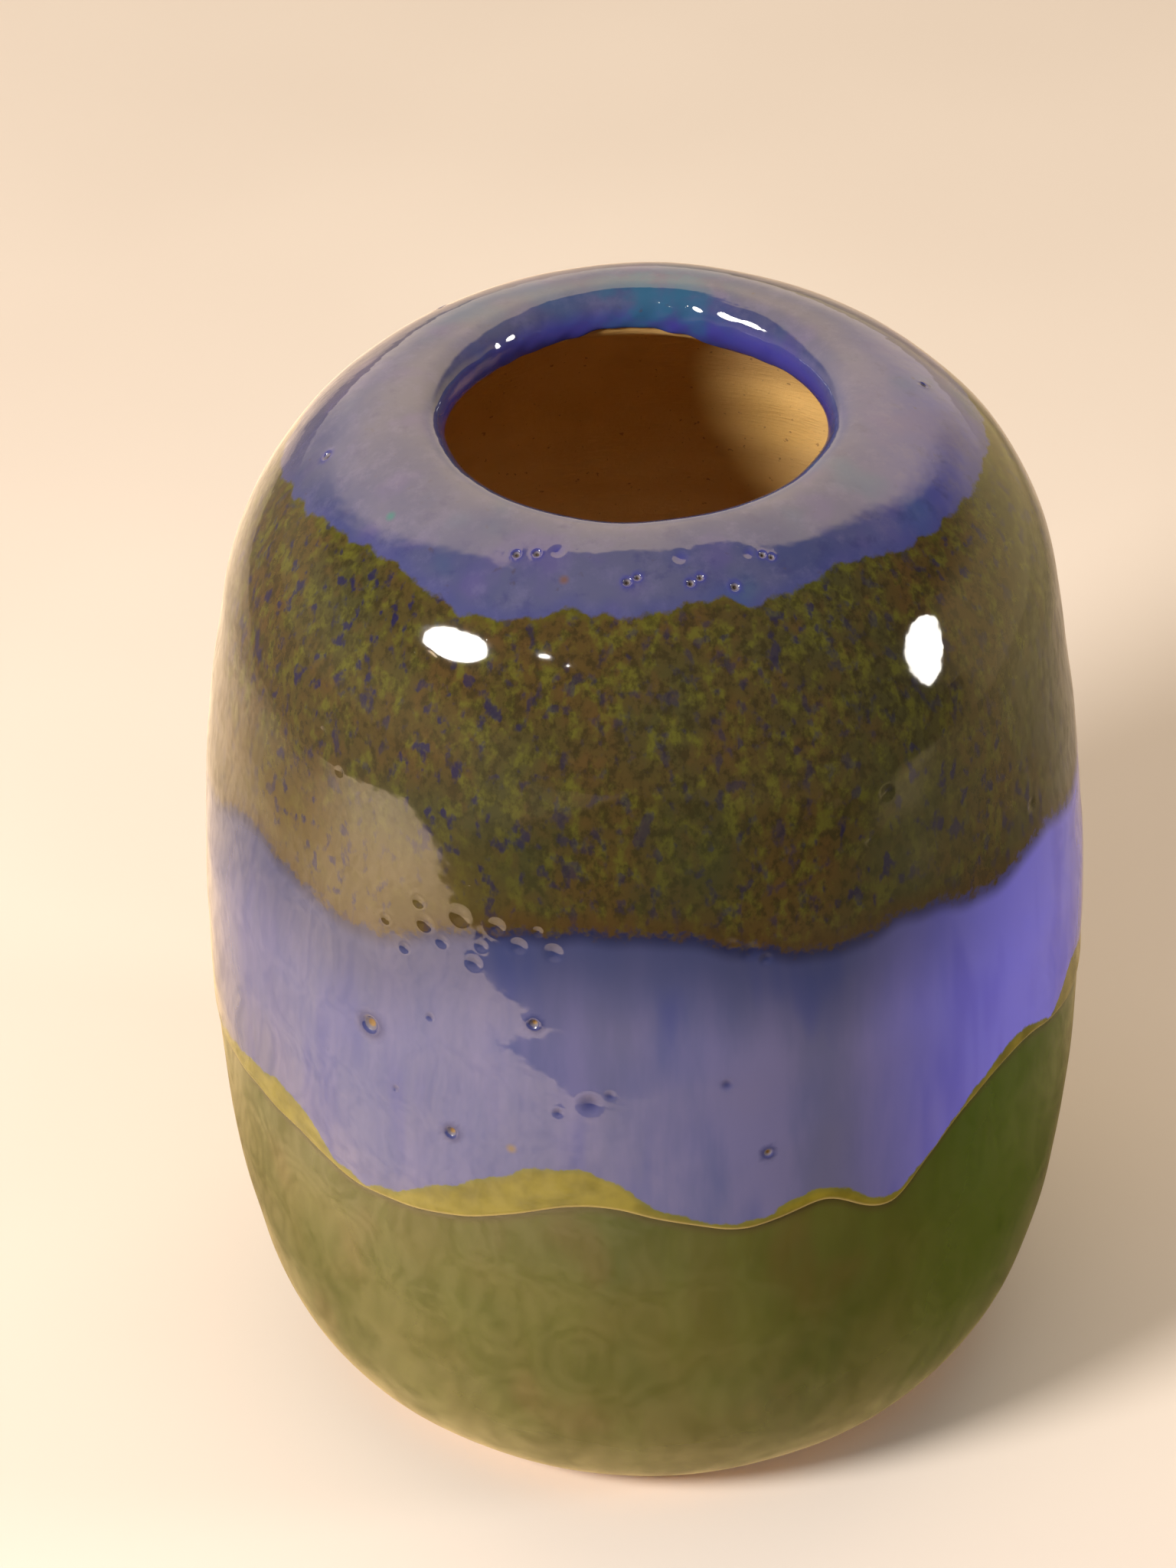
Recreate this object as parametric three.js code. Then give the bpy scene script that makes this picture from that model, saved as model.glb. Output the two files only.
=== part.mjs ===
// A hand-thrown bud vase: one fired clay vessel under five coats of glaze.
//
// Units are millimetres. +Z is up, the origin is the centre of the foot, and -Y is the front.
// Angles are in degrees about +Z, from the front, growing towards +X.
//
// The vessel is a barrel with a round shoulder that rolls over into a small mouth. Its whole
// outer shape is one outline, drawn on the glaze: foot, belly, shoulder, crest and rolled lip.
// The clay lies under that outline by the thickness of the glaze. Each coat of glaze is a thin
// closed shell between two wavy lines, the way a poured coat runs and stops.

import * as THREE from 'three';

// Outer shape, on the glaze
const HEIGHT = 100;
const FOOT_RADIUS = 28;
const BELLY_RADIUS = 40;
const BELLY_HEIGHT = 42;
const SHOULDER_RADIUS = 36.5;
const SHOULDER_HEIGHT = 81;
const SHOULDER_LEAN = 0.19;      // inward run of the wall there, per mm of height
const CREST_RADIUS = 19.0;       // where the top is level
const LIP_RADIUS = 3.0;          // of the round nose, which leaves a mouth 32 mm wide
const LIP_TURN = 270;            // where the nose ends, under the lip

// Clay
const WALL = 5;
const FLOOR_TOP = 7.5;
const FLOOR_FLAT_RADIUS = 20;
const FOOT_RING_WIDTH = 4;
const FOOT_RECESS = 1.8;
const FOOT_BEVEL = 0.8;

// Glaze
const GLAZE = 0.5;
const GLAZE_GAP = 0.25;          // between the clay and each coat
const COAT_GAP = 0.2;            // between a coat and the next one up

// Fineness
const COAT_STEPS = 60;
const CLAY_STEPS = 40;

// Lines where one coat stops and the next begins, as [angle, height] all round the vase
const GREEN_START = [
  [-160, 2.2], [-130, 2.6], [-100, 2.1], [-70, 2.4], [-40, 2.1], [-10, 2.5], [20, 2.2],
  [50, 2.6], [80, 2.3], [110, 2.0], [140, 2.5], [170, 2.4],
];
const GREEN_END = [
  [-170, 42.5], [-140, 38.5], [-110, 40.5], [-80, 39], [-65, 40.2], [-52, 40.2], [-40, 38.6],
  [-25, 39.9], [-9, 43.4], [0, 42.2], [11, 40.1], [21, 41.4], [31, 38.2], [37, 41.3],
  [44, 44.7], [54, 46.4], [66, 44.4], [72, 43], [85, 42], [100, 40.5], [115, 42],
  [130, 45.5], [150, 42], [165, 40],
];
const BLUE_START = [
  [-170, 45.5], [-140, 41], [-110, 43], [-80, 40], [-65, 42.6], [-52, 43.8], [-45, 40.4],
  [-38, 39.5], [-25, 43.8], [-14, 47.3], [-6, 46.7], [0, 43.4], [11, 41], [21, 43],
  [31, 39.3], [38, 42.5], [45, 46], [54, 48.1], [65, 45.4], [71, 47.2], [85, 44.5],
  [100, 41.5], [115, 43.5], [130, 47], [150, 43], [165, 41.5],
];
const OLIVE_START = [
  [-165, 69.5], [-145, 67], [-120, 70], [-95, 66], [-78, 65.3], [-65, 69], [-52, 67.9],
  [-38, 66.9], [-24, 70.4], [0, 71.8], [14, 69.3], [24, 67.8], [35, 68.7], [48, 66.4],
  [63, 66.7], [75, 64.8], [90, 66], [110, 69.5], [130, 68], [150, 66.5], [175, 71],
];
const RIM_START = [
  [-170, 95.5], [-145, 93.8], [-120, 94.2], [-100, 92.5], [-85, 93.9], [-64, 95.8], [-44, 96.4],
  [-31, 95.4], [-14, 96.7], [0, 96.7], [12, 97.3], [20, 96.6], [38, 97], [55, 95.8],
  [75, 94.9], [100, 93.7], [130, 95.8], [155, 94],
];
// The glaze stops inside the mouth, at this distance past the crest, as [angle, distance]
const RIM_END = [
  [-170, 5.4], [-155, 6.1], [-130, 6.9], [-100, 6.4], [-70, 6.8], [-40, 6.5], [0, 6.8],
  [40, 6.4], [75, 6.8], [100, 7.0], [125, 6.5], [150, 7.2], [165, 5.8], [178, 5.1],
];

// Foot, belly, shoulder and crest. Each pull is how far a curve's handle stands from its end.
function makeOutline() {
  const footRise = 5;
  const footSpread = 9;
  const bellyPull = 14;
  const lowerPull = 10;
  const upperPull = 9;
  const crestPull = 8;
  const outline = new THREE.Path();
  outline.moveTo(FOOT_RADIUS, 0);
  outline.bezierCurveTo(
    FOOT_RADIUS + footSpread, footRise,
    BELLY_RADIUS, BELLY_HEIGHT / 2,
    BELLY_RADIUS, BELLY_HEIGHT,
  );
  outline.bezierCurveTo(
    BELLY_RADIUS, BELLY_HEIGHT + bellyPull,
    SHOULDER_RADIUS + lowerPull * SHOULDER_LEAN, SHOULDER_HEIGHT - lowerPull,
    SHOULDER_RADIUS, SHOULDER_HEIGHT,
  );
  outline.bezierCurveTo(
    SHOULDER_RADIUS - upperPull * SHOULDER_LEAN, SHOULDER_HEIGHT + upperPull,
    CREST_RADIUS + crestPull, HEIGHT,
    CREST_RADIUS, HEIGHT,
  );
  return outline;
}

const outline = makeOutline();
const outlineLength = outline.getLength();

// The place at a distance along the outline from the foot, sunk below the surface by depth.
// Past the crest the outline goes on round the nose of the lip.
function onOutline(distance, depth) {
  if (distance > outlineLength) {
    const turn = Math.PI / 2 + (distance - outlineLength) / LIP_RADIUS;
    const reach = LIP_RADIUS - depth;
    return new THREE.Vector2(
      CREST_RADIUS + reach * Math.cos(turn),
      HEIGHT - LIP_RADIUS + reach * Math.sin(turn),
    );
  }
  const share = distance / outlineLength;
  const place = outline.getPoint(share);
  const along = outline.getTangent(share);
  return new THREE.Vector2(place.x - depth * along.y, place.y + depth * along.x);
}

// Distance along the outline at which the surface reaches a height
function distanceAt(height) {
  const halvings = 30;
  let low = 0;
  let high = outlineLength;
  for (let halving = 0; halving < halvings; halving += 1) {
    const middle = (low + high) / 2;
    if (onOutline(middle, 0).y < height) {
      low = middle;
    } else {
      high = middle;
    }
  }
  return low;
}

// A smooth closed line through [angle, value] knots, as a function of the angle
function wavyLine(knots) {
  const count = knots.length;
  const knot = (index) => {
    const lap = Math.floor(index / count);
    const [angle, value] = knots[index - lap * count];
    return [angle + 360 * lap, value];
  };
  const slope = (index) => {
    const [angleBefore, valueBefore] = knot(index - 1);
    const [angleAfter, valueAfter] = knot(index + 1);
    return (valueAfter - valueBefore) / (angleAfter - angleBefore);
  };
  return (angle) => {
    const first = knots[0][0];
    const wrapped = first + THREE.MathUtils.euclideanModulo(angle - first, 360);
    let index = 0;
    while (knot(index + 1)[0] <= wrapped) {
      index += 1;
    }
    const [start, startValue] = knot(index);
    const [end, endValue] = knot(index + 1);
    const span = end - start;
    const t = (wrapped - start) / span;
    const ease = t * t * (3 - 2 * t);
    const leave = t * (1 - t) * (1 - t) * span * slope(index);
    const arrive = t * t * (1 - t) * span * slope(index + 1);
    return startValue + (endValue - startValue) * ease + leave - arrive;
  };
}

const heightLine = (knots) => {
  const line = wavyLine(knots);
  return (angle) => distanceAt(line(angle));
};

const greenStart = heightLine(GREEN_START);
const greenEnd = heightLine(GREEN_END);
const blueStart = heightLine(BLUE_START);
const oliveStart = heightLine(OLIVE_START);
const rimStart = heightLine(RIM_START);
const rimReach = wavyLine(RIM_END);
const rimEnd = (angle) => outlineLength + rimReach(angle);

// A closed shell of glaze from one line up to another. A lathe makes its faces, from a loop
// that runs up the outside and down the inside, and then each vertex moves to its place.
function coat(name, color, roughness, from, to, outerRows, innerRows) {
  const loop = [];
  for (let row = 0; row <= outerRows; row += 1) {
    loop.push({ share: row / outerRows, depth: 0 });
  }
  for (let row = innerRows; row >= 0; row -= 1) {
    loop.push({ share: row / innerRows, depth: GLAZE });
  }
  loop.push(loop[0]);
  const geometry = new THREE.LatheGeometry(
    loop.map(({ share, depth }) => new THREE.Vector2(BELLY_RADIUS - depth, share)),
    COAT_STEPS,
  );
  const position = geometry.attributes.position;
  for (let column = 0; column <= COAT_STEPS; column += 1) {
    const turn = (column % COAT_STEPS) * 2 * Math.PI / COAT_STEPS;
    const angle = THREE.MathUtils.radToDeg(turn);
    const low = from(angle) + COAT_GAP / 2;
    const high = to(angle) - COAT_GAP / 2;
    loop.forEach(({ share, depth }, row) => {
      const place = onOutline(THREE.MathUtils.lerp(low, high, share), depth);
      position.setXYZ(
        column * loop.length + row,
        place.x * Math.sin(turn),
        place.y,
        place.x * Math.cos(turn),
      );
    });
  }
  return stood(name, geometry, color, roughness);
}

// The thrown inside of the clay, from under the lip down to the flat of the floor
function makeInside(underLip) {
  const shoulder = new THREE.Vector2(SHOULDER_RADIUS - WALL, SHOULDER_HEIGHT - 1);
  const belly = new THREE.Vector2(BELLY_RADIUS - WALL, BELLY_HEIGHT);
  const lipPull = 6;
  const upperPull = 7;
  const lowerPull = 10;
  const bellyPull = 14;
  const floorPull = 12;
  const inside = new THREE.Path();
  inside.moveTo(underLip.x, underLip.y);
  inside.bezierCurveTo(
    underLip.x + lipPull, underLip.y,
    shoulder.x - upperPull * SHOULDER_LEAN, shoulder.y + upperPull,
    shoulder.x, shoulder.y,
  );
  inside.bezierCurveTo(
    shoulder.x + lowerPull * SHOULDER_LEAN, shoulder.y - lowerPull,
    belly.x, belly.y + bellyPull,
    belly.x, belly.y,
  );
  inside.bezierCurveTo(
    belly.x, belly.y / 2,
    FLOOR_FLAT_RADIUS + floorPull, FLOOR_TOP,
    FLOOR_FLAT_RADIUS, FLOOR_TOP,
  );
  return inside;
}

// The clay vessel: underside with its foot ring, outside, lip, inside and floor
function clayBody() {
  const depth = GLAZE + GLAZE_GAP;
  const ringOuter = FOOT_RADIUS - depth;
  const ringInner = ringOuter - FOOT_RING_WIDTH;
  const points = [
    new THREE.Vector2(0, FOOT_RECESS),
    new THREE.Vector2(ringInner - FOOT_RECESS, FOOT_RECESS),
    new THREE.Vector2(ringInner, 0),
    new THREE.Vector2(ringOuter, 0),
  ];
  const outerRows = 15;
  for (let row = 0; row <= outerRows; row += 1) {
    points.push(onOutline(THREE.MathUtils.lerp(FOOT_BEVEL, outlineLength, row / outerRows), depth));
  }
  const lipRows = 7;
  const lipLength = LIP_RADIUS * THREE.MathUtils.degToRad(LIP_TURN - 90);
  for (let row = 1; row <= lipRows; row += 1) {
    points.push(onOutline(outlineLength + lipLength * row / lipRows, depth));
  }
  const inside = makeInside(points[points.length - 1]);
  const insideRows = 13;
  for (let row = 1; row <= insideRows; row += 1) {
    points.push(inside.getPoint(row / insideRows));
  }
  points.push(new THREE.Vector2(0, FLOOR_TOP));
  return stood('clay_body', new THREE.LatheGeometry(points, CLAY_STEPS), 0xb98a5e, 0.85);
}

// A lathe turns about +Y, so each shape is stood up on +Z
function stood(name, geometry, color, roughness) {
  geometry.rotateX(Math.PI / 2);
  geometry.computeVertexNormals();
  const material = new THREE.MeshStandardMaterial({ color, roughness, metalness: 0 });
  const mesh = new THREE.Mesh(geometry, material);
  mesh.name = name;
  return mesh;
}

const group = new THREE.Group();
group.add(
  clayBody(),
  coat('green_base_glaze', 0x5b682f, 0.15, greenStart, greenEnd, 8, 7),
  coat('yellow_edge_glaze', 0x989043, 0.2, greenEnd, blueStart, 1, 1),
  coat('blue_band_glaze', 0x666ba8, 0.15, blueStart, oliveStart, 4, 4),
  coat('olive_speckled_glaze', 0x4a4a24, 0.12, oliveStart, rimStart, 6, 6),
  coat('blue_rim_glaze', 0x5c62a0, 0.15, rimStart, rimEnd, 14, 10),
);

export default group;
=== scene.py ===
"""A hand-thrown bud vase under flowing coats of glaze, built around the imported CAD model.

Lengths are in millimetres until a mesh, light or camera is made, which MM turns into metres.
Every point of the pot's surface is given by a turn, in degrees about +Z from the front (-Y)
towards +X, and a run, the distance along the outline from the foot up and over the lip.
"""

import bmesh
import bpy
import numpy as np
from mathutils import Matrix, Vector


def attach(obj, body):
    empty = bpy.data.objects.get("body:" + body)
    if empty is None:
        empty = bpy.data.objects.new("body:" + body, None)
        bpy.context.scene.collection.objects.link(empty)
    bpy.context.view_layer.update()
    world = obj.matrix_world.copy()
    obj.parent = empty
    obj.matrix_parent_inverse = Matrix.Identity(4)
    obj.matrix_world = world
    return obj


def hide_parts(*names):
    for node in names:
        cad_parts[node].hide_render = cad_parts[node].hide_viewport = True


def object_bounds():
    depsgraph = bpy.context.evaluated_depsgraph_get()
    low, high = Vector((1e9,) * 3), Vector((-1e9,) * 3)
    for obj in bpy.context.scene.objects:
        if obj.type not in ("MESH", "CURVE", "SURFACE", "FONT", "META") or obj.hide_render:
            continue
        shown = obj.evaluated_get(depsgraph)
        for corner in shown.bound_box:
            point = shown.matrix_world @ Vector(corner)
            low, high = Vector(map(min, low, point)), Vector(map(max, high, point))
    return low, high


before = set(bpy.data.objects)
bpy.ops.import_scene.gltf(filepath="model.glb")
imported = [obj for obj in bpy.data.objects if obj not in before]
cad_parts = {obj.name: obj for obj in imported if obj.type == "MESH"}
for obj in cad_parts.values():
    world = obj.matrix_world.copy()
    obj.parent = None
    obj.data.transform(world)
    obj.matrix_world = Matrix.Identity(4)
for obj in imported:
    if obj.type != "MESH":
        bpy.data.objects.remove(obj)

MM = 0.001
CAD_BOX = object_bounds()

# ---------------------------------------------------------------- sizes

HEIGHT = CAD_BOX[1].z / MM
BELLY_RADIUS = CAD_BOX[1].x / MM
BELLY_HEIGHT = 0.42 * HEIGHT
FOOT_RADIUS = 0.7 * BELLY_RADIUS
SHOULDER_RADIUS = 0.9125 * BELLY_RADIUS
SHOULDER_HEIGHT = 0.81 * HEIGHT
SHOULDER_LEAN = 0.19
CREST_RADIUS = 0.475 * BELLY_RADIUS
LIP_RADIUS = 3.0

GLAZE = 0.45                 # depth of the clay under the glazed outline
WALL = 5
FLOOR_TOP = 7.5
FLOOR_FLAT_RADIUS = 20
FOOT_RING_WIDTH = 4
FOOT_RECESS = 1.8

COLUMNS = 540                # round the pot
PITCH = 0.42                 # between rows of a coat
CLAY_COLUMNS = 300
OVERCOAT_LIFT = 0.2          # the upper coats stand this proud of the green one
LAP = 0.6                    # the green coat goes on under the yellow edge
LAP_SINK = 0.06              # and sinks this much there
END_WIDTH = 0.6              # a coat rounds off over this where bare clay shows beyond it
END_DEPTH = GLAZE - 0.12

# Lines where one coat stops and the next begins, as [turn, height] all round the vase
GREEN_START = [
    [-160, 2.2], [-130, 2.6], [-100, 2.1], [-70, 2.4], [-40, 2.1], [-10, 2.5], [20, 2.2],
    [50, 2.6], [80, 2.3], [110, 2.0], [140, 2.5], [170, 2.4],
]
GREEN_END = [
    [-170, 42.5], [-140, 38.5], [-110, 40.5], [-80, 39], [-65, 40.2], [-52, 40.2], [-40, 38.6],
    [-25, 39.9], [-9, 43.4], [0, 42.2], [11, 40.1], [21, 41.4], [31, 38.2], [37, 41.3],
    [44, 44.7], [54, 46.4], [66, 44.4], [72, 43], [85, 42], [100, 40.5], [115, 42],
    [130, 45.5], [150, 42], [165, 40],
]
BLUE_START = [
    [-170, 45.5], [-140, 41], [-110, 43], [-80, 40], [-65, 42.6], [-52, 43.8], [-45, 40.4],
    [-38, 39.5], [-25, 43.8], [-14, 47.3], [-6, 46.7], [0, 43.4], [11, 41], [21, 43],
    [31, 39.3], [38, 42.5], [45, 46], [54, 48.1], [65, 45.4], [71, 47.2], [85, 44.5],
    [100, 41.5], [115, 43.5], [130, 47], [150, 43], [165, 41.5],
]
OLIVE_START = [
    [-165, 69.5], [-145, 67], [-120, 70], [-95, 66], [-78, 65.3], [-65, 69], [-52, 67.9],
    [-38, 66.9], [-24, 70.4], [0, 71.8], [14, 69.3], [24, 67.8], [35, 68.7], [48, 66.4],
    [63, 66.7], [75, 64.8], [90, 66], [110, 69.5], [130, 68], [150, 66.5], [175, 71],
]
RIM_START = [
    [-170, 95.5], [-145, 93.8], [-120, 94.2], [-100, 92.5], [-85, 93.9], [-64, 95.8], [-44, 96.4],
    [-31, 95.4], [-14, 96.7], [0, 96.7], [12, 97.3], [20, 96.6], [38, 97], [55, 95.8],
    [75, 94.9], [100, 93.7], [130, 95.8], [155, 94],
]
# The glaze stops inside the mouth, at this distance past the crest
RIM_END = [
    [-170, 5.4], [-155, 6.1], [-130, 6.9], [-100, 6.4], [-70, 6.8], [-40, 6.5], [0, 6.8],
    [40, 6.4], [75, 6.8], [100, 7.0], [125, 6.5], [150, 7.2], [165, 5.8], [178, 5.1],
]

# Burst bubbles: [turn, height, radius, depth]. Deep ones show the clay, shallow ones have healed.
PINHOLES = [
    [-26, 99.0, 0.42, 0.30], [-22, 99.2, 0.42, 0.28], [-3, 98.4, 0.42, 0.34],
    [-1, 98.6, 0.36, 0.26], [9, 98.2, 0.40, 0.32], [11, 98.4, 0.36, 0.24],
    [17, 97.7, 0.46, 0.30], [26, 98.6, 0.34, 0.22], [24.5, 98.8, 0.36, 0.24],
    [-84, 97.1, 0.50, 0.34], [-38, 57.3, 0.95, 0.44], [-15, 62.2, 0.55, 0.42],
    [-26, 49.1, 0.62, 0.38], [14, 48.3, 0.48, 0.26], [120, 55.0, 0.55, 0.40],
    [158, 51.5, 0.40, 0.34], [-112, 60.0, 0.45, 0.36], [-140, 97.5, 0.42, 0.30],
    [100, 98.0, 0.40, 0.28], [-100, 50.0, 0.36, 0.30],
]
DIMPLES = [
    [-18, 99.4, 0.70, 0.08], [8, 99.3, 0.80, 0.08], [22, 99.0, 0.60, 0.08],
    [-36, 68.6, 0.60, 0.10], [-33, 66.5, 0.60, 0.10], [-31, 71.6, 0.70, 0.12],
    [-30, 69.7, 1.00, 0.15], [-27.5, 68.4, 0.70, 0.11], [-25, 71.4, 1.05, 0.15],
    [-23, 67.1, 0.80, 0.13], [-22, 69.0, 0.60, 0.11], [-20, 71.2, 0.95, 0.14],
    [-17, 69.7, 0.90, 0.13], [-14.5, 71.4, 0.60, 0.10], [-12.5, 69.5, 1.05, 0.15],
    [10, 70.2, 0.75, 0.11], [12.5, 69.3, 1.05, 0.14], [14.5, 68.2, 0.70, 0.11],
    [-8, 54.6, 1.20, 0.16], [-12, 53.4, 0.55, 0.10], [-5.5, 55.6, 0.55, 0.08],
    [9, 56.3, 0.65, 0.08], [-29, 60.5, 0.50, 0.08], [7, 90.6, 0.80, 0.08],
    [13, 91.5, 0.80, 0.08], [25, 81.7, 0.95, 0.09], [18, 78.5, 0.85, 0.08],
    [30, 77.0, 0.90, 0.09], [33, 80.5, 0.80, 0.08], [-11, 87.2, 0.70, 0.07],
    [3, 89.6, 0.60, 0.07], [-34, 51.7, 0.45, 0.07], [-49, 83.0, 0.70, 0.08],
    [-45, 80.5, 0.50, 0.07], [60, 70.0, 0.80, 0.12], [95, 68.5, 0.90, 0.12],
    [128, 70.0, 0.80, 0.12], [150, 60.0, 0.70, 0.10], [-120, 69.0, 0.90, 0.12],
    [-150, 70.0, 0.80, 0.10],
]
# Slow swells of the thrown wall: [turn, height, amount, turn spread, height spread]
SWELLS = [
    [95, 90, 0.60, 45, 8], [-55, 9, 0.35, 35, 7], [-40, 70, -0.20, 30, 14], [20, 66, -0.15, 16, 9],
    [160, 75, -0.25, 40, 18],
]

# ---------------------------------------------------------------- the outline


def bezier(start, pull, push, end, count=200):
    a, b, c, d = (np.array(point, float) for point in (start, pull, push, end))
    t = np.linspace(0, 1, count)[:, None]
    return (1 - t) ** 3 * a + 3 * t * (1 - t) ** 2 * b + 3 * t * t * (1 - t) * c + t ** 3 * d


def arc(centre, radius, start, end, count=120):
    turn = np.radians(np.linspace(start, end, count))
    return np.stack([centre[0] + radius * np.cos(turn), centre[1] + radius * np.sin(turn)], 1)


def outline_points():
    """Foot, belly, shoulder and crest as curves, then the round nose of the lip."""
    low_belly = (BELLY_RADIUS, BELLY_HEIGHT)
    shoulder = (SHOULDER_RADIUS, SHOULDER_HEIGHT)
    crest = (CREST_RADIUS, HEIGHT)
    curves = [
        bezier((FOOT_RADIUS, 0), (FOOT_RADIUS + 9, 5), (BELLY_RADIUS, BELLY_HEIGHT / 2), low_belly),
        bezier(low_belly, (BELLY_RADIUS, BELLY_HEIGHT + 14),
               (SHOULDER_RADIUS + 10 * SHOULDER_LEAN, SHOULDER_HEIGHT - 10), shoulder),
        bezier(shoulder, (SHOULDER_RADIUS - 9 * SHOULDER_LEAN, SHOULDER_HEIGHT + 9),
               (CREST_RADIUS + 8, HEIGHT), crest),
    ]
    wall = np.concatenate([curves[0], curves[1][1:], curves[2][1:]])
    nose = arc((CREST_RADIUS, HEIGHT - LIP_RADIUS), LIP_RADIUS, 90, 270)
    return np.concatenate([wall, nose[1:]]), len(wall) - 1


OUTLINE, CREST_INDEX = outline_points()
RUN = np.concatenate([[0], np.cumsum(np.hypot(*np.diff(OUTLINE, axis=0).T))])
CREST_RUN = RUN[CREST_INDEX]
LIP_END_RUN = RUN[-1]
ALONG = np.gradient(OUTLINE, RUN, axis=0)
OUTWARD = np.stack([ALONG[:, 1], -ALONG[:, 0]], 1)


def run_at(height):
    """Run at which the outline reaches a height, below the crest."""
    return np.interp(height, OUTLINE[:CREST_INDEX, 1], RUN[:CREST_INDEX])


def radius_at(run):
    return np.interp(run, RUN, OUTLINE[:, 0])


def wavy_line(knots, turns):
    """A smooth closed line through [turn, value] knots, read at many turns."""
    first = knots[0][0]
    angle = np.array([k[0] for k in knots], float)
    value = np.array([k[1] for k in knots], float)
    angle = np.concatenate([angle[-2:] - 360, angle, angle[:3] + 360])
    value = np.concatenate([value[-2:], value, value[:3]])
    slope = np.zeros(len(angle))
    slope[1:-1] = (value[2:] - value[:-2]) / (angle[2:] - angle[:-2])
    wrapped = first + (turns - first) % 360
    index = np.searchsorted(angle, wrapped, side="right") - 1
    span = angle[index + 1] - angle[index]
    t = (wrapped - angle[index]) / span
    ease = t * t * (3 - 2 * t)
    leave = t * (1 - t) ** 2 * span * slope[index]
    arrive = t * t * (1 - t) * span * slope[index + 1]
    return value[index] + (value[index + 1] - value[index]) * ease + leave - arrive


def ripple(turns, size, fewest, most, seed):
    """Small irregular waves round the pot, between two counts of waves a turn."""
    rng = np.random.default_rng(seed)
    total = np.zeros_like(turns, dtype=float)
    terms = 14
    for _ in range(terms):
        waves = rng.integers(fewest, most)
        total += np.cos(np.radians(turns) * waves + rng.uniform(0, 2 * np.pi))
    return size * total / np.sqrt(terms / 2)


def green_start(turns):
    return run_at(wavy_line(GREEN_START, turns))


def green_end(turns):
    return run_at(wavy_line(GREEN_END, turns) + ripple(turns, 0.06, 15, 45, 1))


def blue_start(turns):
    line = run_at(wavy_line(BLUE_START, turns) + ripple(turns, 0.12, 30, 90, 2))
    return np.maximum(line, green_end(turns) + 0.5)


def olive_start(turns):
    return run_at(wavy_line(OLIVE_START, turns) + ripple(turns, 0.1, 15, 60, 3))


def rim_start(turns):
    return run_at(wavy_line(RIM_START, turns)) + ripple(turns, 0.2, 12, 55, 4)


def rim_end(turns):
    return CREST_RUN + wavy_line(RIM_END, turns) + ripple(turns, 0.14, 8, 30, 5)


# ---------------------------------------------------------------- the surface


def thrown_relief(turns, runs):
    """How far hand throwing leaves the wall off a true turned form: inward, but for two swells."""
    rng = np.random.default_rng(11)
    relief = np.zeros_like(turns, dtype=float)
    for amount, waves, length in [(0.07, 2, 70), (0.05, 3, 45), (0.035, 5, 28), (0.02, 8, 17),
                                  (0.012, 13, 11)]:
        for _ in range(2):
            phase = rng.uniform(0, 2 * np.pi, 2)
            relief += amount * (np.cos(np.radians(turns) * waves + phase[0])
                                * np.cos(2 * np.pi * runs / length + phase[1]))
    throwing_ring = 0.015 * np.cos(2 * np.pi * runs / 7.5 + np.radians(turns))
    highest = 0.28
    relief += throwing_ring - highest
    for turn, height, amount, turn_spread, height_spread in SWELLS:
        away = (turns - turn + 180) % 360 - 180
        up = runs - run_at(height)
        relief += amount * np.exp(-(away / turn_spread) ** 2 - (up / height_spread) ** 2)
    return relief


def overcoat_lift(turns, runs):
    """The upper coats end in a rounded bead that stands on the green one."""
    above = runs - green_end(turns)
    bead_width = 0.55
    rise = np.clip(above / bead_width, 0, 1)
    bead = 0.05 * np.exp(-((above - 0.6) / 0.5) ** 2)
    return np.where(above < 0, 0, OVERCOAT_LIFT * np.sqrt(1 - (1 - rise) ** 2) + bead)


def rounded_end(distance, width, depth):
    """Sinks the last stretch of a coat, so that it ends in a quarter round."""
    left = np.clip(distance / width, 0, 1)
    return -depth * (1 - np.sqrt(1 - (1 - left) ** 2))


def from_bubble(turns, runs, bubble):
    """Distance from a bubble's middle, in its own radii."""
    turn, height, radius, _ = bubble
    centre = run_at(height)
    across = np.radians((turns - turn + 180) % 360 - 180) * radius_at(centre)
    return np.hypot(across, runs - centre) / radius


def bubble_relief(turns, runs):
    relief = np.zeros_like(turns, dtype=float)
    for bubble in PINHOLES + DIMPLES:
        q = from_bubble(turns, runs, bubble)
        relief -= bubble[3] * np.where(q < 1, (1 - np.minimum(q, 1) ** 2) ** 2, 0)
        relief += 0.1 * bubble[3] * np.exp(-((q - 1.2) / 0.3) ** 2)
    return relief


def lip_lumps(turns, runs):
    """Thick glaze has gathered in lumps where it ran down inside the lip."""
    inside = np.clip((runs - CREST_RUN - 1) / 2.5, 0, 1)
    inside = inside * np.clip(-1.6 * np.cos(np.radians(turns)) - 0.5, 0, 1)
    shifting = turns + 2.5 * np.cos(runs * 1.2)
    return 0.05 * inside * ripple(shifting, 1, 18, 48, 6) * np.cos((runs - CREST_RUN) * 1.1)


def place(turns, runs, lift):
    """Points of the pot at a lift off the true outline."""
    r = np.interp(runs, RUN, OUTLINE[:, 0]) + lift * np.interp(runs, RUN, OUTWARD[:, 0])
    z = np.interp(runs, RUN, OUTLINE[:, 1]) + lift * np.interp(runs, RUN, OUTWARD[:, 1])
    angle = np.radians(turns)
    return np.stack([r * np.sin(angle), -r * np.cos(angle), z], -1)


# ---------------------------------------------------------------- meshes


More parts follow.
